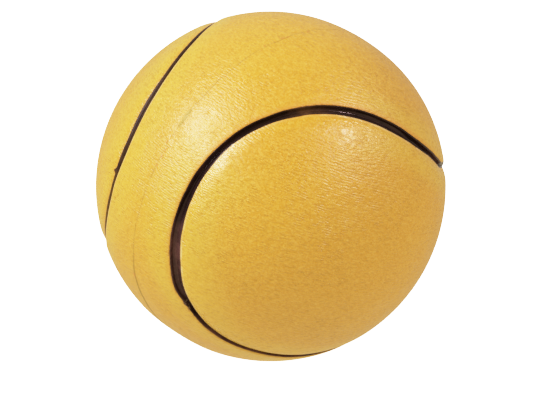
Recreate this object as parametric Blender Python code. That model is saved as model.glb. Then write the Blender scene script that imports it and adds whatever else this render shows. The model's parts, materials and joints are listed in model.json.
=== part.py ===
"""Seamed rubber play ball, 63.5 mm across, built up like a tennis ball but with a bare rubber cover.

Inside out: two moulded half shells joined by a ring of cement make a hollow core, two thin films of
cement hold two equal dumbbell-shaped cover panels on it, and one endless strip of dark seam compound
fills the bottom of the groove between the panels.

The origin is the ball's centre and +Z is up. The seam is drawn in the seam's own axes: its two waists
are at +z and -z, and the centres of the four lobes are at 45 degrees between x and y. The empty
"ball" then turns the whole ball to the way it lies.
"""

import math

import bmesh
import bpy
from mathutils import Vector

# Driving dimensions, in metres.
BALL_RADIUS = 0.03175
COVER_THICKNESS = 0.0022
CEMENT_THICKNESS = 0.0003
CORE_WALL = 0.0033
JOINT_CEMENT_THICKNESS = 0.0005
GROOVE_HALF_WIDTH = 0.0007
GROOVE_DEPTH = 0.0010
SHOULDER_RADIUS = 0.00085
STRIP_HALF_WIDTH = 0.0004
CLEARANCE = 0.0003

# The seam: x, y and z are sums of sines, which are then drawn out onto the sphere.
SEAM_THIRD_HARMONIC = 0.385
SEAM_FIFTH_HARMONIC = -0.029
SEAM_HEIGHT = 0.933
# Where along the seam the front panel's first lobe ends.
LOBE_TIP = 0.25 * math.pi

# How the ball lies, in degrees about X, then Y, then Z.
BALL_TURN = (57.8, 55.5, -70.8)

# Facets.
SEAM_STEPS = 88
SHOULDER_STEPS = 3
OUTER_RINGS = 7
INNER_RINGS = 6
CEMENT_RINGS = 6
CORE_STEPS = 36
CORE_ARC_STEPS = 8
SPINE_REACH = math.radians(112.0)
SHARP_ANGLE = math.radians(40.0)
TANGENT_STEP = 1e-4
MERGE_DISTANCE = 1e-6

# Radii of the layers, from the outside in.
COVER_INNER_RADIUS = BALL_RADIUS - COVER_THICKNESS
CEMENT_OUTER_RADIUS = COVER_INNER_RADIUS - CLEARANCE
CEMENT_INNER_RADIUS = CEMENT_OUTER_RADIUS - CEMENT_THICKNESS
CORE_OUTER_RADIUS = CEMENT_INNER_RADIUS - CLEARANCE
CORE_INNER_RADIUS = CORE_OUTER_RADIUS - CORE_WALL
STRIP_INNER_RADIUS = CORE_OUTER_RADIUS + CLEARANCE
STRIP_OUTER_RADIUS = BALL_RADIUS - GROOVE_DEPTH

# The two panels' own axes in the seam's axes: the waist's direction and the spine's.
DIAGONAL = math.sqrt(0.5)
FRONT_PANEL = (Vector((0.0, 0.0, -1.0)), Vector((DIAGONAL, DIAGONAL, 0.0)))
SIDE_PANEL = (Vector((0.0, 0.0, 1.0)), Vector((DIAGONAL, -DIAGONAL, 0.0)))


def clear_scene():
    for old in list(bpy.data.objects):
        bpy.data.objects.remove(old)


def make_material(name, colour, roughness, coat=0.0):
    material = bpy.data.materials.new(name)
    material.use_nodes = True
    shader = material.node_tree.nodes["Principled BSDF"]
    shader.inputs["Base Color"].default_value = (*colour, 1.0)
    shader.inputs["Roughness"].default_value = roughness
    shader.inputs["Metallic"].default_value = 0.0
    shader.inputs["Coat Weight"].default_value = coat
    material.diffuse_color = (*colour, 1.0)
    return material


def make_object(name, mesh_builder, material, parent):
    """Turns a closed bmesh into a named, smooth-shaded object under the ball's empty."""
    bmesh.ops.remove_doubles(mesh_builder, verts=mesh_builder.verts, dist=MERGE_DISTANCE)
    bmesh.ops.recalc_face_normals(mesh_builder, faces=mesh_builder.faces)
    mesh = bpy.data.meshes.new(name)
    mesh_builder.to_mesh(mesh)
    mesh_builder.free()
    mesh.shade_smooth()
    mesh.set_sharp_from_angle(angle=SHARP_ANGLE)
    mesh.materials.append(material)
    piece = bpy.data.objects.new(name, mesh)
    bpy.context.scene.collection.objects.link(piece)
    piece.parent = parent
    return piece


def seam_point(t):
    """The seam's direction from the ball's centre, for t from 0 to a full turn."""
    first = 1.0 - SEAM_THIRD_HARMONIC
    third = SEAM_THIRD_HARMONIC
    fifth = SEAM_FIFTH_HARMONIC
    x = first * math.cos(t) + third * math.cos(3 * t) + fifth * math.cos(5 * t)
    y = first * math.sin(t) - third * math.sin(3 * t) + fifth * math.sin(5 * t)
    z = SEAM_HEIGHT * math.sin(2 * t)
    return Vector((x, y, z)).normalized()


def beside_seam(t, offset, panel):
    """The direction this far from the seam on the side of this panel, measured over the surface."""
    here = seam_point(t)
    along = seam_point(t + TANGENT_STEP) - seam_point(t - TANGENT_STEP)
    side = here.cross(along).normalized()
    if panel is FRONT_PANEL:
        side.negate()
    angle = offset / BALL_RADIUS
    return here * math.cos(angle) + side * math.sin(angle)


def angle_from_waist(direction, panel):
    """How far round from the panel's waist a direction lies, in the plane of its two lobes."""
    waist, lobe = panel
    return math.atan2(direction.dot(lobe), direction.dot(waist))


def spine_point(t, panel):
    """The point of the panel's spine that this step of its edge is drawn in to."""
    waist, lobe = panel
    lobe_tip = angle_from_waist(seam_point(LOBE_TIP), FRONT_PANEL)
    angle = angle_from_waist(seam_point(t), panel) * SPINE_REACH / lobe_tip
    return waist * math.cos(angle) + lobe * math.sin(angle)


def panel_ring(builder, panel, offset, share, radius):
    """One closed row of vertices, this share of the way from the panel's edge to its spine."""
    ring = []
    for step in range(SEAM_STEPS):
        t = 2.0 * math.pi * step / SEAM_STEPS
        edge = beside_seam(t, offset, panel)
        direction = edge.slerp(spine_point(t, panel), share)
        ring.append(builder.verts.new(direction * radius))
    return ring


def join_rings(builder, rings, closed=False):
    """Quads between each ring and the next, and back to the first ring where closed."""
    pairs = list(zip(rings, rings[1:]))
    if closed:
        pairs.append((rings[-1], rings[0]))
    for low, high in pairs:
        for index, vertex in enumerate(low):
            after = (index + 1) % len(low)
            builder.faces.new((vertex, low[after], high[after], high[index]))


def cover_panel(name, panel, material, parent):
    """A dumbbell panel: spherical outside and inside, its edge a wall with a rounded shoulder."""
    rows = [(GROOVE_HALF_WIDTH + SHOULDER_RADIUS, share / INNER_RINGS, COVER_INNER_RADIUS)
            for share in range(INNER_RINGS, 0, -1)]
    rows.append((GROOVE_HALF_WIDTH, 0.0, COVER_INNER_RADIUS))
    for step in range(SHOULDER_STEPS + 1):
        angle = 0.5 * math.pi * step / SHOULDER_STEPS
        offset = GROOVE_HALF_WIDTH + SHOULDER_RADIUS * (1.0 - math.cos(angle))
        height = BALL_RADIUS - SHOULDER_RADIUS * (1.0 - math.sin(angle))
        rows.append((offset, 0.0, height))
    rows += [(GROOVE_HALF_WIDTH + SHOULDER_RADIUS, share / OUTER_RINGS, BALL_RADIUS)
             for share in range(1, OUTER_RINGS + 1)]
    builder = bmesh.new()
    join_rings(builder, [panel_ring(builder, panel, *row) for row in rows])
    return make_object(name, builder, material, parent)


def cement_film(name, panel, material, parent):
    """The thin coat of cement under a panel, with the same outline."""
    inside = [(GROOVE_HALF_WIDTH, share / CEMENT_RINGS, CEMENT_INNER_RADIUS)
              for share in range(CEMENT_RINGS, -1, -1)]
    outside = [(GROOVE_HALF_WIDTH, share / CEMENT_RINGS, CEMENT_OUTER_RADIUS)
               for share in range(CEMENT_RINGS + 1)]
    builder = bmesh.new()
    join_rings(builder, [panel_ring(builder, panel, *row) for row in inside + outside])
    return make_object(name, builder, material, parent)


def seam_strip(name, material, parent):
    """The endless strip of seam compound, standing on the core between the panels' edges."""
    corners = (
        (FRONT_PANEL, STRIP_INNER_RADIUS),
        (FRONT_PANEL, STRIP_OUTER_RADIUS),
        (SIDE_PANEL, STRIP_OUTER_RADIUS),
        (SIDE_PANEL, STRIP_INNER_RADIUS),
    )
    builder = bmesh.new()
    rings = [panel_ring(builder, panel, STRIP_HALF_WIDTH, 0.0, radius) for panel, radius in corners]
    join_rings(builder, rings, closed=True)
    return make_object(name, builder, material, parent)


def spin_profile(builder, profile, closed=False):
    """Turns a profile, given as distance from the pole axis and height along it, into a solid."""
    points = [builder.verts.new((distance, 0.0, height)) for distance, height in profile]
    edges = [builder.edges.new(pair) for pair in zip(points, points[1:])]
    if closed:
        edges.append(builder.edges.new((points[-1], points[0])))
    bmesh.ops.spin(
        builder,
        geom=points + edges,
        cent=(0.0, 0.0, 0.0),
        axis=(0.0, 0.0, 1.0),
        angle=2.0 * math.pi,
        steps=CORE_STEPS,
    )


def core_half_shell(name, pole, material, parent):
    """A moulded rubber bowl, open towards the joint, its rim flat against the joint's cement."""
    rim = JOINT_CEMENT_THICKNESS / 2.0 + CLEARANCE

    def arc(radius):
        start = math.asin(rim / radius)
        for step in range(CORE_ARC_STEPS + 1):
            angle = start + (0.5 * math.pi - start) * step / CORE_ARC_STEPS
            yield radius * math.cos(angle), radius * math.sin(angle)

    builder = bmesh.new()
    outside = list(arc(CORE_OUTER_RADIUS))
    inside = list(arc(CORE_INNER_RADIUS))
    spin_profile(builder, list(reversed(outside)) + inside)
    shell = make_object(name, builder, material, parent)
    shell.rotation_euler = pole.to_track_quat("Z", "Y").to_euler()
    return shell


def core_joint_cement(name, pole, material, parent):
    """The flat ring of cement between the rims of the two half shells."""
    half = JOINT_CEMENT_THICKNESS / 2.0
    profile = (
        (CORE_INNER_RADIUS, -half),
        (CORE_OUTER_RADIUS, -half),
        (CORE_OUTER_RADIUS, half),
        (CORE_INNER_RADIUS, half),
    )
    builder = bmesh.new()
    spin_profile(builder, profile, closed=True)
    ring = make_object(name, builder, material, parent)
    ring.rotation_euler = pole.to_track_quat("Z", "Y").to_euler()
    return ring


def build_ball():
    ball = bpy.data.objects.new("ball", None)
    bpy.context.scene.collection.objects.link(ball)
    ball.rotation_euler = [math.radians(angle) for angle in BALL_TURN]

    # The mould's halves, and so the core's, part across the front panel's lobes.
    front_pole = FRONT_PANEL[1]
    panels = (("front", FRONT_PANEL), ("side", SIDE_PANEL))
    for place, panel in panels:
        yellow = make_material(f"cover_rubber_{place}", (0.68, 0.40, 0.03), 0.42)
        cover_panel(f"cover_panel_{place}", panel, yellow, ball)
        cement = make_material(f"panel_cement_{place}", (0.60, 0.48, 0.28), 0.6)
        cement_film(f"panel_cement_{place}", panel, cement, ball)
    compound = make_material("seam_compound", (0.020, 0.010, 0.008), 0.25, coat=0.5)
    seam_strip("seam_strip", compound, ball)
    for place, pole in (("front", front_pole), ("back", -front_pole)):
        rubber = make_material(f"core_rubber_{place}", (0.060, 0.055, 0.053), 0.7)
        core_half_shell(f"core_half_shell_{place}", pole, rubber, ball)
    joint = make_material("core_joint_cement", (0.31, 0.27, 0.22), 0.65)
    core_joint_cement("core_joint_cement", front_pole, joint, ball)


clear_scene()
build_ball()
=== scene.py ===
"""Looks of the seamed rubber play ball: cover panels, filled groove, inner layers, light and camera."""

import json
import math

import bmesh
import bpy
import numpy as np
from mathutils import Euler, Matrix, Vector


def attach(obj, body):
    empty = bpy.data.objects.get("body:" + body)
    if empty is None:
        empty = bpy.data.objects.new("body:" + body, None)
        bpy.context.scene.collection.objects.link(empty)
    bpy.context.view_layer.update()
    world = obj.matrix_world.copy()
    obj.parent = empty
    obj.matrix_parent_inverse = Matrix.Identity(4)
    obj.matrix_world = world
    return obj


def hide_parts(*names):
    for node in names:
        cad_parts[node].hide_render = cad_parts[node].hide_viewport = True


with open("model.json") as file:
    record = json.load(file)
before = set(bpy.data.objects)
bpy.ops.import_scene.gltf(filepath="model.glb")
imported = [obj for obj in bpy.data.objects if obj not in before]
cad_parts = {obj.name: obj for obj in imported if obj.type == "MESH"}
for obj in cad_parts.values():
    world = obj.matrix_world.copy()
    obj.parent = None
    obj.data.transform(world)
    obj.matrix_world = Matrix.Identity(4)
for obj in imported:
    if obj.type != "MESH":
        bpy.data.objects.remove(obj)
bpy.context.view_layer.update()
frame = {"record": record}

# The ball, in metres. Its radius is how far below its centre it touches the floor.
RADIUS = -frame["record"]["mounts"][0]["pos_m"][2]
MM = 0.001
COVER_THICKNESS = 2.2 * MM
BALL_TURN = Euler([math.radians(angle) for angle in (57.8, 55.5, -70.8)])

# The seam, in its own axes: sums of sines drawn out onto the sphere, as in the CAD model.
SEAM_THIRD_HARMONIC = 0.385
SEAM_FIFTH_HARMONIC = -0.029
SEAM_HEIGHT = 0.933
DIAGONAL = math.sqrt(0.5)
FRONT = {
    "name": "front",
    "waist": np.array((0.0, 0.0, -1.0)),
    "lobe": np.array((DIAGONAL, DIAGONAL, 0.0)),
    "side": -1.0,
    "crown": (3.2 * MM, 0.60 * MM),
    "edge": (0.45 * MM, 0.40 * MM),
    "lap": 0.55 * MM,
    "polish": 1.0,
}
SIDE = {
    "name": "side",
    "waist": np.array((0.0, 0.0, 1.0)),
    "lobe": np.array((DIAGONAL, -DIAGONAL, 0.0)),
    "side": 1.0,
    "crown": (0.9 * MM, 0.04 * MM),
    "edge": (0.40 * MM, 0.40 * MM),
    "lap": 0.16 * MM,
    "polish": 0.0,
}

# The groove, and the compound in it: a thin skin on the walls and a hollow floor.
GROOVE_DEPTH = 1.05 * MM
WALL_BELOW_FLOOR = 0.3 * MM
FULL_LAP_HALF_WIDTH = 0.7 * MM
COMPOUND_SKIN = 0.035 * MM
COMPOUND_SAG = 0.38 * MM
COMPOUND_UNDER_WALL = 0.15 * MM
COMPOUND_THICKNESS = 0.2 * MM

# The groove was opened and filled by hand, so it wanders off the ideal seam and its width changes.
# A key is a turn of that wandering: a place along the seam, from 0 to a full turn, and millimetres there.
DRIFT = (
    (0.00, 0.00), (0.15, -0.30), (0.30, -0.20), (0.45, -0.40), (0.50, 0.10), (0.60, -0.30), (1.00, 0.00),
    (1.15, -0.20), (1.40, 0.00), (1.60, -0.35), (1.79, 0.20), (1.88, 2.20), (2.60, 0.00), (3.40, 0.50),
    (3.80, -0.30), (3.90, -0.05), (4.20, 0.45), (5.00, -0.15), (5.60, 0.15),
)
HALF_WIDTH = (
    (0.00, 0.40), (0.15, 0.25), (0.45, 0.45), (0.50, 0.95), (0.60, 1.00), (1.00, 0.65), (1.45, 0.85),
    (1.80, 0.55), (3.40, 0.90), (3.65, 0.85), (3.80, 1.00), (3.95, 0.95), (4.00, 0.70), (4.10, 0.80),
    (5.60, 0.65),
)

# From 0 to 1 along the seam: how thin and brown the compound is, how purple that brown is, and how
# much it is flecked.
THIN = (
    (0.00, 1.0), (0.30, 1.0), (0.42, 0.2), (0.69, 1.0), (0.74, 0.1), (1.17, 0.1), (1.25, 0.6), (1.32, 0.1),
    (1.62, 0.1), (1.80, 0.8), (3.30, 0.3), (3.98, 0.3), (4.05, 0.8), (5.00, 0.5),
)
PURPLE = (
    (0.00, 0.7), (0.80, 1.0), (1.22, 0.5), (1.80, 1.0), (3.30, 0.4), (3.95, 0.4), (4.05, 0.0), (4.40, 0.0),
)
FLECKS = (
    (0.43, 0.0), (0.44, 0.8), (0.45, 0.8), (0.46, 0.0), (3.74, 0.0), (3.76, 0.5), (3.78, 0.5), (3.80, 0.0),
)

# And on each panel: its orange stain with painted shade along the groove's edge, its pale line of painted
# highlight on the rounded edge, and the brown smear beside the compound.
FRONT["stain_and_shade"] = ((0.00, 0.1), (0.55, 0.1), (0.70, 0.4), (3.00, 0.4), (3.50, 0.6), (4.20, 0.6), (4.60, 0.4))
FRONT["rim"] = (
    (0.10, 0.3), (0.20, 0.6), (0.65, 0.8), (0.80, 0.3), (1.30, 0.3), (1.42, 0.6), (1.80, 0.3), (3.00, 0.0),
    (4.60, 0.0),
)
FRONT["smear"] = ((0.00, 0.2), (3.10, 0.3))
SIDE["stain_and_shade"] = (
    (0.00, 0.2), (0.42, 0.2), (0.50, 0.6), (0.95, 1.0), (1.65, 1.0), (1.72, 0.3), (2.50, 0.6), (3.30, 0.2),
    (4.30, 0.2), (5.20, 0.5),
)
SIDE["rim"] = ((0.00, 0.0), (3.20, 0.0), (3.45, 0.6), (4.15, 0.6), (4.50, 0.0))
SIDE["smear"] = ((0.20, 0.3), (0.44, 1.0), (0.70, 1.0), (0.90, 0.3), (1.60, 0.3), (3.30, 0.1), (4.30, 0.1))

# The ball is a little out of round: the direction of each flat, its depth, and how wide it is.
FLATS = (
    ((0.50, 0.30, 0.80), 0.24 * MM, math.radians(17.0)),
    ((-0.55, -0.30, -0.80), 0.32 * MM, math.radians(8.0)),
)

# Mesh density.
SEAM_STEPS = 960
EDGE_STEPS = 10
CROWN_STEPS = 12
INNER_RINGS = 12
NEAR_RINGS = 5
NEAR_SPACING = 0.15 * MM
SPREAD_RINGS = 54
LAP_STEPS = 12
FLOOR_STEPS = 22

# A panel's spine is an arc this far to each side of its waist, into its lobes.
SPINE_REACH = math.radians(112.0)


def unit(vectors):
    return vectors / np.linalg.norm(vectors, axis=-1, keepdims=True)


def seam_point(t):
    """The seam's directions from the ball's centre, for an array of t from 0 to a full turn."""
    first = 1.0 - SEAM_THIRD_HARMONIC
    third = SEAM_THIRD_HARMONIC
    fifth = SEAM_FIFTH_HARMONIC
    x = first * np.cos(t) + third * np.cos(3 * t) + fifth * np.cos(5 * t)
    y = first * np.sin(t) - third * np.sin(3 * t) + fifth * np.sin(5 * t)
    z = SEAM_HEIGHT * np.sin(2 * t)
    return unit(np.stack((x, y, z), axis=-1))


FULL_TURN = 2.0 * math.pi
SEAM_T = FULL_TURN * np.arange(SEAM_STEPS) / SEAM_STEPS
SEAM = seam_point(SEAM_T)
SEAM_SIDE = unit(np.cross(SEAM, seam_point(SEAM_T + 1e-4) - seam_point(SEAM_T - 1e-4)))
RNG = np.random.default_rng(7)


def smooth(values, steps):
    """Values round the seam, blurred over this many steps."""
    reach = np.arange(-3 * steps, 3 * steps + 1)
    weights = np.exp(-0.5 * (reach / steps) ** 2)
    wrapped = np.concatenate((values[-3 * steps:], values, values[:3 * steps]))
    return np.convolve(wrapped, weights / weights.sum(), "valid")


def keyed(keys, steps):
    """The keys' values at every step of the seam, eased from each key to the next."""
    at, values = np.array(keys).T
    at = np.append(at, at[0] + FULL_TURN)
    values = np.append(values, values[0])
    t = at[0] + (SEAM_T - at[0]) % FULL_TURN
    after = np.searchsorted(at, t, side="right")
    before = after - 1
    share = (t - at[before]) / (at[after] - at[before])
    ease = share * share * (3.0 - 2.0 * share)
    return smooth(values[before] + (values[after] - values[before]) * ease, steps)


def unevenness(size, steps):
    """Random hand-made unevenness round the seam, of this standard deviation."""
    rough = smooth(RNG.normal(size=SEAM_STEPS), steps)
    return rough / rough.std() * size


def bump_at(place, width, height):
    """One local widening of an edge at this place along the seam."""
    away = (SEAM_T - place + math.pi) % FULL_TURN - math.pi
    return height * np.exp(-((away / width) ** 2))


def spur(place, length, height):
    """A thorn on an edge: it rises over this length along the seam and ends at once."""
    share = 1.0 - (place - SEAM_T) / length
    return height * np.where((share > 0.0) & (share <= 1.0), share, 0.0)


CENTRE = keyed(DRIFT, 3) * MM + unevenness(0.025 * MM, 6)
HALF = keyed(HALF_WIDTH, 3) * MM
for panel in (FRONT, SIDE):
    # How far the compound reaches from the ideal seam, and where the groove's wall is below it.
    panel["reach"] = HALF + panel["side"] * CENTRE + unevenness(0.022 * MM, 2)
    panel["wall"] = panel["reach"] - panel["lap"] * np.clip(HALF / FULL_LAP_HALF_WIDTH, 0.0, 1.0)
# A slip of the brush off the groove, and the scraped edge where it was filled twice.
FRONT["reach"] += spur(3.992, 0.018, 0.80 * MM)
SIDE["reach"] += bump_at(0.452, 0.007, 0.20 * MM)


def beside_seam(offset):
    """Directions at this distance over the surface from the seam, positive onto the side panel."""
    angle = np.broadcast_to(np.asarray(offset) / RADIUS, (SEAM_STEPS,))[:, None]
    return SEAM * np.cos(angle) + SEAM_SIDE * np.sin(angle)


def spine_points(panel):
    """The points of the panel's spine that the steps of its edge are drawn in to."""
    lobe = SEAM @ panel["lobe"]
    waist = SEAM @ panel["waist"]
    angle = np.arctan2(lobe, waist)
    angle *= SPINE_REACH / np.abs(angle).max()
    return np.cos(angle)[:, None] * panel["waist"] + np.sin(angle)[:, None] * panel["lobe"]


def between(start, end, share):
    """Directions this share of the way from start to end over the sphere."""
    angle = np.arccos(np.clip((start * end).sum(-1), -1.0, 1.0))[:, None]
    return (start * np.sin((1.0 - share) * angle) + end * np.sin(share * angle)) / np.sin(angle)


def ring_faces(rings, closed):
    """Quads between each ring of vertices and the next."""
    low = np.arange(SEAM_STEPS)
    after = (low + 1) % SEAM_STEPS
    faces = []
    for ring in range(rings if closed else rings - 1):
        here = ring * SEAM_STEPS
        there = (ring + 1) % rings * SEAM_STEPS
        faces.append(np.stack((here + low, here + after, there + after, there + low), axis=-1))
    return np.concatenate(faces)


def make_piece(name, points, faces, material, **attributes):
    """An object from points in the seam's axes, turned to the way the ball lies."""
    turned = points @ np.array(BALL_TURN.to_matrix()).T
    for direction, depth, width in FLATS:
        away = np.arccos(np.clip(unit(turned) @ unit(np.array(direction)), -1.0, 1.0))
        turned = turned * (1.0 - depth / RADIUS * np.exp(-((away / width) ** 2)))[:, None]
    mesh = bpy.data.meshes.new(name)
    mesh.from_pydata(turned.tolist(), [], faces.tolist())
    for label, values in attributes.items():
        layer = mesh.attributes.new(label, "FLOAT", "POINT")
        layer.data.foreach_set("value", np.asarray(values, dtype=np.float32))
    builder = bmesh.new()
    builder.from_mesh(mesh)
    bmesh.ops.remove_doubles(builder, verts=builder.verts, dist=1e-6)
    bmesh.ops.recalc_face_normals(builder, faces=builder.faces)
    builder.to_mesh(mesh)
    builder.free()
    mesh.shade_smooth()
    mesh.materials.append(material)
    piece = bpy.data.objects.new(name, mesh)
    bpy.context.scene.collection.objects.link(piece)
    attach(piece, "root")
    return piece


def shoulder_drop(panel, reach):
    """How far the panel's shoulder lies below the sphere, this far from its wall."""
    crown_width, crown_drop = panel["crown"]
    edge_width, edge_drop = panel["edge"]
    crown = np.clip(1.0 - np.asarray(reach) / crown_width, 0.0, 1.0)
    edge = np.clip(1.0 - np.asarray(reach) / edge_width, 0.0, 1.0)
    return crown_drop * crown ** 2 + edge_drop * (1.0 - np.sqrt(1.0 - edge ** 2))


def cover_panel(panel, material):
    """A dumbbell panel: low crown, rounded edge and wall at the groove, spherical outside and inside."""
    crown_width = panel["crown"][0]
    edge_width = panel["edge"][0]
    inner = RADIUS - COVER_THICKNESS
    # Each row is its distance from the wall, its share of the way on to the spine, and its radius.
    rows = [(crown_width, share / INNER_RINGS, inner) for share in range(INNER_RINGS, 0, -1)]
    rows += [(0.0, 0.0, inner), (0.0, 0.0, RADIUS - GROOVE_DEPTH - WALL_BELOW_FLOOR)]
    reaches = []
    for step in range(EDGE_STEPS):
        reaches.append(edge_width * (1.0 - math.cos(0.5 * math.pi * step / EDGE_STEPS)))
    for step in range(CROWN_STEPS + 1):
        reaches.append(edge_width + (crown_width - edge_width) * step / CROWN_STEPS)
    rows += [(reach, 0.0, RADIUS - float(shoulder_drop(panel, reach))) for reach in reaches]
    for ring in range(1, NEAR_RINGS + 1):
        rows.append((crown_width + NEAR_SPACING * ring, 0.0, RADIUS))
    last = rows[-1][0]
    rows += [(last, share / SPREAD_RINGS, RADIUS) for share in range(1, SPREAD_RINGS + 1)]
    spine = spine_points(panel)
    points, beyond = [], []
    for offset, share, radius in rows:
        start = beside_seam(panel["side"] * (panel["wall"] + offset))
        direction = between(start, spine, share) if share else start
        points.append(direction * radius)
        spread = share * np.arccos(np.clip((start * spine).sum(-1), -1.0, 1.0)) * RADIUS
        beyond.append((offset - panel["reach"] + panel["wall"] + spread) / MM)
    points = np.concatenate(points)
    faces = ring_faces(len(rows), closed=False)
    marks = {label: np.tile(keyed(panel[label], 3), len(rows)) for label in ("stain_and_shade", "rim", "smear")}
    piece = make_piece(
        "cover_" + panel["name"], points, faces, material, beyond_lap=np.concatenate(beyond), **marks
    )
    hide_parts("cover_panel_" + panel["name"])
    return piece


def compound_lap(panel):
    """The compound's section from the foot of this panel's wall, up it and out onto the shoulder."""
    length = panel["reach"] - panel["wall"]
    section = []
    for step in range(LAP_STEPS):
        share = step / (LAP_STEPS - 1.0)
        here = length * share ** 1.5
        lift = COMPOUND_SKIN * (1.0 - 0.6 * share ** 6)
        offset = panel["side"] * (panel["wall"] + here - lift)
        section.append((offset, RADIUS - shoulder_drop(panel, here) + 0.6 * lift))
    return section


def groove_fill(material):
    """The compound: a skin up each wall and onto the shoulder, sagging into a hollow floor between."""
    floor = RADIUS - GROOVE_DEPTH
    underside = floor - COMPOUND_THICKNESS
    section = compound_lap(FRONT)[::-1]
    for step in range(FLOOR_STEPS + 1):
        share = step / FLOOR_STEPS
        offset = (SIDE["wall"] - COMPOUND_SKIN) * share - (FRONT["wall"] - COMPOUND_SKIN) * (1.0 - share)
        section.append((offset, floor + COMPOUND_SAG * (2.0 * share - 1.0) ** 2))
    section += compound_lap(SIDE)
    section.append((SIDE["wall"] + COMPOUND_UNDER_WALL, underside))
    section.append((-FRONT["wall"] - COMPOUND_UNDER_WALL, underside))
    rings, across = [], []
    for offset, radius in section:
        rings.append(beside_seam(offset) * np.broadcast_to(radius, (SEAM_STEPS,))[:, None])
        across.append(np.broadcast_to(np.asarray(offset) - CENTRE, (SEAM_STEPS,)) / MM)
    faces = ring_faces(len(section), closed=True)
    marks = {"along": SEAM_T, "thin": keyed(THIN, 3), "purple": keyed(PURPLE, 3)}
    marks["flecks"] = keyed(FLECKS, 1)
    marks = {label: np.tile(values, len(section)) for label, values in marks.items()}
    piece = make_piece(
        "seam_fill", np.concatenate(rings), faces, material, across_mm=np.concatenate(across), **marks
    )
    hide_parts("seam_strip")
    return piece


class Nodes:
    """Short forms for building one material's node tree."""

    def __init__(self, name):
        self.material = bpy.data.materials.new(name)
        self.material.use_nodes = True
        self.tree = self.material.node_tree
        self.shader = self.tree.nodes["Principled BSDF"]

    def feed(self, socket, value):
        if isinstance(value, bpy.types.NodeSocket):
            self.tree.links.new(value, socket)
        else:
            socket.default_value = value

    def math(self, operation, *values, clamp=False):
        node = self.tree.nodes.new("ShaderNodeMath")
        node.operation = operation
        node.use_clamp = clamp
        for socket, value in zip(node.inputs, values):
            self.feed(socket, value)
        return node.outputs[0]

    def ramp(self, value, low, high, to_low=0.0, to_high=1.0):
        node = self.tree.nodes.new("ShaderNodeMapRange")
        node.interpolation_type = "SMOOTHSTEP"
        for socket, number in zip(node.inputs, (value, low, high, to_low, to_high)):
            self.feed(socket, number)
        return node.outputs[0]

    def mix(self, factor, first, second):
        node = self.tree.nodes.new("ShaderNodeMix")
        node.data_type = "RGBA"
        for socket, value in zip((node.inputs[0], node.inputs[6], node.inputs[7]), (factor, first, second)):
            self.feed(socket, (*value, 1.0) if isinstance(value, tuple) else value)
        return node.outputs[2]

    def place(self, turn, stretch=(1.0, 1.0, 1.0)):
        """The point on the ball, in millimetres over stretch, along axes turned this way."""
        where = self.tree.nodes.new("ShaderNodeTexCoord")
        node = self.tree.nodes.new("ShaderNodeMapping")
        node.vector_type = "TEXTURE"
        node.inputs["Rotation"].default_value = turn
        node.inputs["Scale"].default_value = [MM * number for number in stretch]
        self.feed(node.inputs["Vector"], where.outputs["Object"])
        return node.outputs[0]

    def noise(self, vector, scale, detail=2.0, roughness=0.5):
        node = self.tree.nodes.new("ShaderNodeTexNoise")
        node.inputs["Scale"].default_value = scale
        node.inputs["Detail"].default_value = detail
        node.inputs["Roughness"].default_value = roughness
        self.feed(node.inputs["Vector"], vector)
        return node.outputs["Fac"]

    def attribute(self, name):
        node = self.tree.nodes.new("ShaderNodeAttribute")
        node.attribute_name = name
        return node.outputs["Fac"]

    def distance(self, vector, point):
        node = self.tree.nodes.new("ShaderNodeVectorMath")
        node.operation = "DISTANCE"
        self.feed(node.inputs[0], vector)
        node.inputs[1].default_value = point
        return node.outputs["Value"]

    def split(self, vector):
        node = self.tree.nodes.new("ShaderNodeSeparateXYZ")
        self.feed(node.inputs[0], vector)
        return node.outputs

    def bump(self, height, distance, strength=1.0, under=None):
        node = self.tree.nodes.new("ShaderNodeBump")
        node.inputs["Distance"].default_value = distance
        node.inputs["Strength"].default_value = strength
        self.feed(node.inputs["Height"], height)
        if under is not None:
            self.feed(node.inputs["Normal"], under)
        return node.outputs[0]

    def set(self, **values):
        for name, value in values.items():
            socket = self.shader.inputs[name.replace("_", " ")]
            self.feed(socket, (*value, 1.0) if isinstance(value, tuple) and len(value) == 3 else value)


# Axes of the mould: x across the tool marks, y across the parting plane, z along the panels' waists.
MOULD_TURN = (BALL_TURN.to_matrix() @ Matrix.Rotation(-0.25 * math.pi, 3, "Z")).to_euler()
# How far the parting line lies off its plane and how far apart the ripples are, in millimetres.
PARTING_OFFSET = 0.6
RIPPLE_PITCH = 0.40
# The middle of a patch of painted shade, darker orange over the part of the ball that faces front and
# upward, in millimetres along the mould's axes.
PAINTED_SHADE_TOWARDS = Vector((0.12, -0.74, 0.67)).normalized()
PAINTED_SHADE_MIDDLE = MOULD_TURN.to_matrix().inverted() @ PAINTED_SHADE_TOWARDS * (RADIUS / MM)


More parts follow.
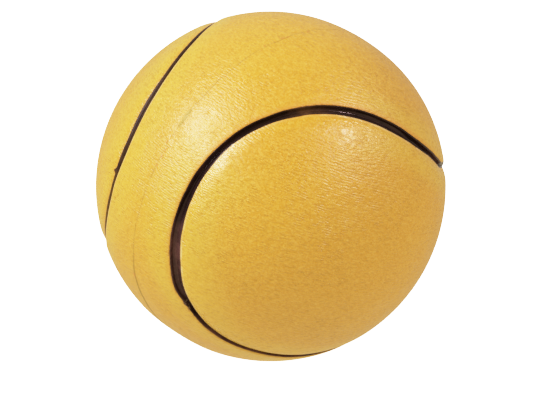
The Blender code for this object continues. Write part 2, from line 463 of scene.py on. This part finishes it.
def mottled(n, place, beyond, grain, dashes, worn):
    """Yellow in clouds and blotches, with painted shade that turns it darker orange away from the groove
    and over a patch facing front and upward, and with the dashes of the tool marks.
    """
    cloud = n.noise(place, 0.13, 3.0, 0.6)
    blotch = n.noise(place, 0.42, 3.0, 0.6)
    colour = n.mix(n.ramp(cloud, 0.34, 0.66), (0.686, 0.392, 0.024), (0.676, 0.410, 0.034))
    colour = n.mix(n.ramp(blotch, 0.45, 0.72, 0.0, 0.35), colour, (0.640, 0.330, 0.022))
    # Painted shade: darker orange away from the groove's edge and around a patch facing front and upward.
    painted_shade_off_edge = n.ramp(beyond, 2.5, 10.0, 0.0, 0.70)
    painted_shade_patch = n.ramp(n.distance(place, PAINTED_SHADE_MIDDLE), 20.0, 7.0, 0.0, 0.85)
    colour = n.mix(n.math("MAXIMUM", painted_shade_off_edge, painted_shade_patch), colour, (0.655, 0.305, 0.011))
    colour = n.mix(n.ramp(grain, 0.35, 0.70, 0.0, 0.40), colour, (0.820, 0.520, 0.080))
    dark_dash = n.math("MULTIPLY", n.ramp(dashes, 0.50, 0.70, 0.0, 0.70), worn)
    colour = n.mix(dark_dash, colour, (0.520, 0.275, 0.012))
    pale_dash = n.ramp(dashes, 0.46, 0.30, 0.0, 0.35)
    return n.mix(pale_dash, colour, (0.830, 0.490, 0.085))


def parting_line(n, place, across, off_plane, colour):
    """The mould's parting line, broken on the crown of the ball and clear at its foot, with its spots."""
    wander = n.math("MULTIPLY_ADD", n.noise(place, 0.30, 2.0), 0.7, -0.35 - PARTING_OFFSET)
    wander = n.math("SUBTRACT", wander, n.ramp(across, 18.0, 30.0, 0.0, 2.0))
    from_line = n.math("ABSOLUTE", n.math("ADD", off_plane, wander))
    thick = n.ramp(n.math("ABSOLUTE", n.math("ADD", across, 11.8)), 2.6, 1.0)
    half_width = n.math("MULTIPLY_ADD", thick, 0.40, n.ramp(across, 6.0, 20.0, 0.22, 0.42))
    line = n.ramp(n.math("DIVIDE", from_line, half_width), 1.0, 0.1)
    strength = n.ramp(n.noise(place, 0.45, 2.0), 0.38, 0.62, 0.12, 0.50)
    strength = n.math("MAXIMUM", strength, n.math("MULTIPLY", thick, 0.90))
    strength = n.math("MAXIMUM", strength, n.ramp(across, 8.0, 23.0, 0.25, 1.0))
    line = n.math("MULTIPLY", line, strength)
    line_colour = n.mix(thick, (0.250, 0.165, 0.006), (0.400, 0.270, 0.010))
    colour = n.mix(n.math("MULTIPLY", line, 0.90), colour, line_colour)
    spots = n.ramp(n.noise(n.place(MOULD_TURN, (1.0, 0.8, 1.0)), 0.62, 1.0), 0.68, 0.74)
    spots = n.math("MULTIPLY", spots, n.ramp(from_line, 0.6, 0.3))
    return n.mix(n.math("MULTIPLY", spots, 0.6), colour, (0.560, 0.200, 0.015)), line


def groove_side(n, place, beyond, colour):
    """Beside the groove the rubber is darker orange, stained by solvent and with painted shade where the
    shoulder turns away; a pale line of painted highlight runs along its rounded edge, and smears of
    compound show.
    """
    ragged = n.math("MULTIPLY_ADD", n.noise(place, 1.6, 2.0), 0.5, -0.25)
    edge = n.math("ADD", beyond, ragged)
    # Painted shade mixed into the stain: darker orange on the shoulder just beside the compound.
    stain_and_shade = n.math("MULTIPLY", n.ramp(edge, 1.2, -0.1, 0.0, 0.85), n.attribute("stain_and_shade"))
    colour = n.mix(stain_and_shade, colour, (0.650, 0.295, 0.022))
    # Painted highlight: a pale cream line along the panel's rounded edge beside the compound.
    rim = n.ramp(n.noise(place, 0.5, 2.0), 0.38, 0.62, 0.35, 1.0)
    rim = n.math("MULTIPLY", n.math("MULTIPLY", rim, n.attribute("rim")), n.ramp(beyond, 0.52, 0.24))
    colour = n.mix(rim, colour, (0.840, 0.620, 0.270))
    smear = n.math("MULTIPLY", n.ramp(edge, 0.28, -0.05), n.ramp(n.noise(place, 0.9, 3.0), 0.38, 0.60))
    smear = n.math("MULTIPLY", smear, n.attribute("smear"))
    return n.mix(n.math("MULTIPLY", smear, 0.85), colour, (0.260, 0.095, 0.010)), stain_and_shade


def mould_ripple(n, place, across):
    """Fine parallel waves across the mould's axis, warped a little and stronger in patches."""
    ripple_warp = n.noise(place, 0.30, 2.0)
    phase = n.math("MULTIPLY_ADD", across, FULL_TURN / RIPPLE_PITCH, n.math("MULTIPLY", ripple_warp, 14.0))
    ripple_strength = n.ramp(n.noise(place, 0.55, 2.0), 0.42, 0.66, 0.1, 1.0)
    return n.math("MULTIPLY", n.math("SINE", phase), ripple_strength)


def cover_rubber(panel):
    """Satin yellow rubber with the mould's tool marks, mottling with painted shade, a parting line, and
    edges that are stained and carry painted shade and a painted highlight.
    """
    n = Nodes("cover_" + panel["name"] + "_look")
    place = n.place(MOULD_TURN)
    across, off_plane, _ = n.split(place)
    beyond = n.attribute("beyond_lap")
    dashes = n.noise(n.place(MOULD_TURN, (0.30, 0.90, 0.90)), 1.0, 2.0, 0.55)
    worn = n.ramp(n.noise(place, 0.10, 2.0), 0.35, 0.65, 0.70, 1.0)
    grain = n.noise(place, 3.2, 1.0, 0.6)
    smooth_patch = n.ramp(n.noise(place, 0.33, 2.0), 0.50, 0.66)
    polished = n.ramp(beyond, 2.8, 0.4, 0.0, panel["polish"])

    colour = mottled(n, place, beyond, grain, dashes, worn)
    colour, line = parting_line(n, place, across, off_plane, colour)
    colour, stain_and_shade = groove_side(n, place, beyond, colour)

    ripple = n.math("MULTIPLY", mould_ripple(n, place, across), 0.13)
    relief = n.math("MULTIPLY", n.math("MULTIPLY_ADD", dashes, -1.0, ripple), worn)
    relief = n.math("MULTIPLY", relief, n.math("MULTIPLY_ADD", smooth_patch, -0.15, 1.0))
    under = n.bump(n.noise(place, 0.45, 3.0), 0.10 * MM)
    normal = n.bump(relief, 0.20 * MM, 1.0, under)
    normal = n.bump(grain, 0.02 * MM, 1.0, normal)
    normal = n.bump(line, 0.015 * MM, 1.0, normal)
    roughness = n.ramp(grain, 0.3, 0.7, 0.35, 0.45)
    for mark, change in ((smooth_patch, -0.06), (polished, -0.12), (stain_and_shade, 0.15), (line, 0.25)):
        roughness = n.math("MULTIPLY_ADD", mark, change, roughness)
    gloss_waves = n.bump(n.noise(place, 0.70, 1.0), 0.09 * MM)
    n.set(Base_Color=colour, Roughness=roughness, Normal=normal, Coat_Normal=gloss_waves)
    n.shader.inputs["Specular IOR Level"].default_value = 0.68
    n.shader.inputs["Coat Weight"].default_value = 0.10
    n.shader.inputs["Coat Roughness"].default_value = 0.16
    return n.material


def seam_compound():
    """Brown-black filler, glossy, brushed along the groove, with thin patches that show brown."""
    n = Nodes("seam_compound_look")
    place = n.place(MOULD_TURN)
    across = n.attribute("across_mm")
    along = n.attribute("along")
    combine = n.tree.nodes.new("ShaderNodeCombineXYZ")
    n.feed(combine.inputs[0], n.math("MULTIPLY", across, 4.5))
    n.feed(combine.inputs[1], n.math("MULTIPLY", along, 22.0))
    brushed = n.noise(combine.outputs[0], 1.0, 3.0, 0.6)
    patchy = n.ramp(n.noise(place, 0.5, 3.0, 0.55), 0.36, 0.64, 0.55, 1.25)
    thin = n.math("MULTIPLY", n.attribute("thin"), patchy, clamp=True)
    brown = n.mix(n.attribute("purple"), (0.190, 0.088, 0.004), (0.118, 0.050, 0.048))
    colour = n.mix(thin, (0.0075, 0.0040, 0.0040), brown)
    colour = n.mix(n.ramp(brushed, 0.50, 0.75, 0.0, 0.4), colour, (0.085, 0.038, 0.034))
    flecks = n.math("MULTIPLY", n.ramp(n.noise(place, 3.0, 1.0), 0.52, 0.60), n.attribute("flecks"))
    flecks = n.math("MULTIPLY", flecks, n.ramp(across, 0.26, 0.40))
    colour = n.mix(n.math("MULTIPLY", flecks, 0.8), colour, (0.520, 0.380, 0.220))
    normal = n.bump(brushed, 0.007 * MM)
    dull = n.ramp(n.attribute("purple"), 0.40, 0.60, 0.28, 0.0)
    roughness = n.math("ADD", n.ramp(brushed, 0.3, 0.7, 0.13, 0.20), dull)
    n.set(Base_Color=colour, Roughness=roughness, Normal=normal)
    n.shader.inputs["Specular IOR Level"].default_value = 0.28
    n.shader.inputs["Specular Tint"].default_value = (1.0, 0.72, 0.76, 1.0)
    return n.material


def inner_layer(name, dark, light, scale, roughness, relief):
    """A hidden layer: two tones worked through each other, and a soft relief."""
    n = Nodes(name)
    place = n.place(MOULD_TURN)
    worked = n.noise(place, scale, 4.0, 0.6)
    n.set(
        Base_Color=n.mix(n.ramp(worked, 0.35, 0.68), dark, light),
        Roughness=n.ramp(n.noise(place, 3.0 * scale), 0.3, 0.7, roughness - 0.08, roughness + 0.08),
        Normal=n.bump(worked, relief),
    )
    return n.material


def paint_node(node, material):
    piece = bpy.data.objects[node]
    for slot in piece.material_slots:
        slot.material = material


cover_panel(FRONT, cover_rubber(FRONT))
cover_panel(SIDE, cover_rubber(SIDE))
groove_fill(seam_compound())

cement = inner_layer("panel_cement_look", (0.50, 0.38, 0.20), (0.70, 0.58, 0.36), 0.5, 0.6, 0.05 * MM)
core = inner_layer("core_rubber_look", (0.035, 0.032, 0.031), (0.085, 0.080, 0.076), 0.8, 0.75, 0.04 * MM)
joint = inner_layer("core_joint_look", (0.24, 0.21, 0.17), (0.38, 0.34, 0.28), 0.9, 0.65, 0.05 * MM)
for side in ("front", "side"):
    paint_node("panel_cement_" + side, cement)
for side in ("front", "back"):
    paint_node("core_half_shell_" + side, core)
paint_node("core_joint_cement", joint)

# The scene's value that the picture shows as full white.
WHITE_LEVEL = 2.5

# A white sweep: lit so evenly that it shows no shadow, and it lights nothing itself. It is wide enough
# that its far edge stays out of a low view.
SWEEP_SIZE = 600 * RADIUS
bpy.ops.mesh.primitive_plane_add(size=SWEEP_SIZE, location=(0.0, 0.0, -RADIUS))
floor = bpy.context.object
floor.name = "floor"
sweep = Nodes("sweep")
sweep.set(Base_Color=(0.9, 0.9, 0.9), Roughness=0.9)
sweep.set(Emission_Color=(1.0, 1.0, 1.0), Emission_Strength=WHITE_LEVEL)
sweep.material.cycles.emission_sampling = "NONE"
floor.data.materials.append(sweep.material)
floor.visible_diffuse = False
floor.visible_glossy = False
floor.visible_shadow = False

# Light: a soft surround with a warm bounce from below, two softboxes at the left and two at the right.
# Each part of the surround is a direction, how narrow it is, and its colour.
LAMP_DISTANCE = 20 * RADIUS
SURROUND = (
    ((-1.0, 0.0, 0.15), 2.0, (0.23, 0.22, 0.24)),
    ((1.0, -0.2, 0.0), 2.0, (0.12, 0.11, 0.13)),
    ((0.8, -0.55, 0.2), 4.0, (0.10, 0.09, 0.09)),
    ((0.0, -0.3, -1.0), 2.0, (1.20, 1.05, 0.60)),
    ((0.0, 0.85, 0.55), 4.0, (0.45, 0.45, 0.42)),
)
world = bpy.data.worlds.new("world")
bpy.context.scene.world = world
world.use_nodes = True
sky = world.node_tree
background = sky.nodes["Background"]
facing = sky.nodes.new("ShaderNodeTexCoord").outputs["Generated"]


def sky_node(kind, operation, *values):
    node = sky.nodes.new(kind)
    node.operation = operation
    for socket, value in zip(node.inputs, values):
        if isinstance(value, bpy.types.NodeSocket):
            sky.links.new(value, socket)
        else:
            socket.default_value = value
    return node


total = None
for direction, narrowness, colour in SURROUND:
    along_it = sky_node("ShaderNodeVectorMath", "DOT_PRODUCT", facing, Vector(direction).normalized())
    share = sky_node("ShaderNodeMath", "MULTIPLY_ADD", along_it.outputs["Value"], 0.5, 0.5)
    share = sky_node("ShaderNodeMath", "POWER", share.outputs[0], narrowness)
    glow = sky_node("ShaderNodeVectorMath", "SCALE", colour)
    sky.links.new(share.outputs[0], glow.inputs["Scale"])
    if total is None:
        total = glow
    else:
        total = sky_node("ShaderNodeVectorMath", "ADD", total.outputs[0], glow.outputs[0])
sky.links.new(total.outputs[0], background.inputs["Color"])


def softbox(name, direction, size, power, colour):
    data = bpy.data.lights.new(name, "AREA")
    data.size = size
    data.energy = power
    data.color = colour
    lamp = bpy.data.objects.new(name, data)
    lamp.location = Vector(direction).normalized() * LAMP_DISTANCE
    lamp.rotation_euler = Vector(direction).to_track_quat("Z", "Y").to_euler()
    bpy.context.scene.collection.objects.link(lamp)


softbox("left_lamp", (-0.68, -0.23, 0.70), 7 * RADIUS, 3.15, (0.97, 1.0, 0.99))
softbox("low_lamp", (-0.62, -0.55, 0.56), 6 * RADIUS, 1.5, (1.0, 0.98, 1.0))
softbox("right_lamp", (0.71, -0.29, 0.64), 2 * RADIUS, 1.95, (1.0, 0.88, 0.86))
softbox("side_lamp", (0.85, 0.05, 0.50), 7 * RADIUS, 0.3, (1.0, 0.90, 0.90))

# Camera: its height over the floor, and where it aims, right of and above the ball's centre in radii.
ELEVATION = math.radians(20.0)
CAMERA_DISTANCE = 10 * RADIUS
AIM_RIGHT = 0.0095
AIM_ABOVE = -0.0778
camera_data = bpy.data.cameras.new("camera")
camera_data.lens = 115.1
camera_data.sensor_width = 36.0
camera_data.clip_start = 0.01
camera = bpy.data.objects.new("camera", camera_data)
towards = Vector((0.0, -math.cos(ELEVATION), math.sin(ELEVATION)))
above = Vector((0.0, math.sin(ELEVATION), math.cos(ELEVATION)))
camera.location = towards * CAMERA_DISTANCE
aim = (Vector((1.0, 0.0, 0.0)) * AIM_RIGHT + above * AIM_ABOVE) * RADIUS
camera.rotation_euler = (camera.location - aim).to_track_quat("Z", "Y").to_euler()
bpy.context.scene.collection.objects.link(camera)
bpy.context.scene.camera = camera

# A soft shoulder in the picture's response, as a camera has, so bright yellow turns lemon and not flat.
settings = bpy.context.scene.view_settings
settings.view_transform = "Standard"
settings.use_curve_mapping = True
curve = settings.curve_mapping
curve.white_level = (WHITE_LEVEL, WHITE_LEVEL, WHITE_LEVEL)
tone = curve.curves[3]
tone.points[0].location = (0.0, 0.0)
tone.points[1].location = (1.0, 1.0)
for scene_value in (0.3, 0.5, 0.65, 0.8, 1.0, 1.25, 1.6, 2.0):
    shown = scene_value if scene_value <= 0.5 else 1.0 - 0.5 * math.exp(1.0 - 2.0 * scene_value)
    tone.points.new(scene_value / WHITE_LEVEL, shown)
curve.update()
